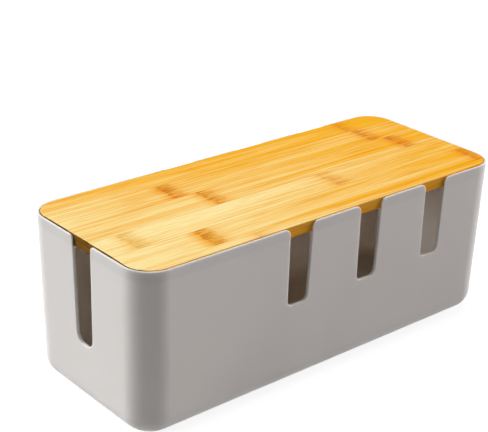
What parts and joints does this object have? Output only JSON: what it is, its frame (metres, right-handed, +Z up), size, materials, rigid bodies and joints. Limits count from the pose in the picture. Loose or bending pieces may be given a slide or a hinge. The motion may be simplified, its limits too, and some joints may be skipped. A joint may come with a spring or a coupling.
{
  "type": "cable management box",
  "caption": "Long open-topped plastic tub with rounded corners and cable slots in its walls, closed by a loose bamboo lid that drops into its rim.",
  "frame": {"origin": "middle of the footprint, on the surface that the box stands on", "axes": "+X along the length, away from the end with the single slot; +Y to the rear long wall; +Z up"},
  "size_m": [0.305, 0.124, 0.1148],
  "materials": {
    "tub_plastic": "satin",
    "bamboo": "satin, clear lacquer",
    "pad_rubber": "matte"
  },
  "bodies": {
    "tub": {"tub": "tub_plastic", "pad_front_left": "pad_rubber", "pad_front_right": "pad_rubber", "pad_rear_left": "pad_rubber", "pad_rear_right": "pad_rubber"},
    "lid": {"lid_top_strip_1": "bamboo", "lid_top_strip_2": "bamboo", "lid_top_strip_3": "bamboo", "lid_top_strip_4": "bamboo", "lid_top_strip_5": "bamboo", "lid_top_strip_6": "bamboo", "lid_bottom_strip_1": "bamboo", "lid_bottom_strip_2": "bamboo", "lid_bottom_strip_3": "bamboo", "lid_bottom_strip_4": "bamboo", "lid_bottom_strip_5": "bamboo", "lid_bottom_strip_6": "bamboo"}
  },
  "joints": [
    {"name": "lid_lift", "type": "slide", "parent": "tub", "child": "lid", "axis": [0, 0, 1], "range_m": [0, 0.096]}
  ]
}
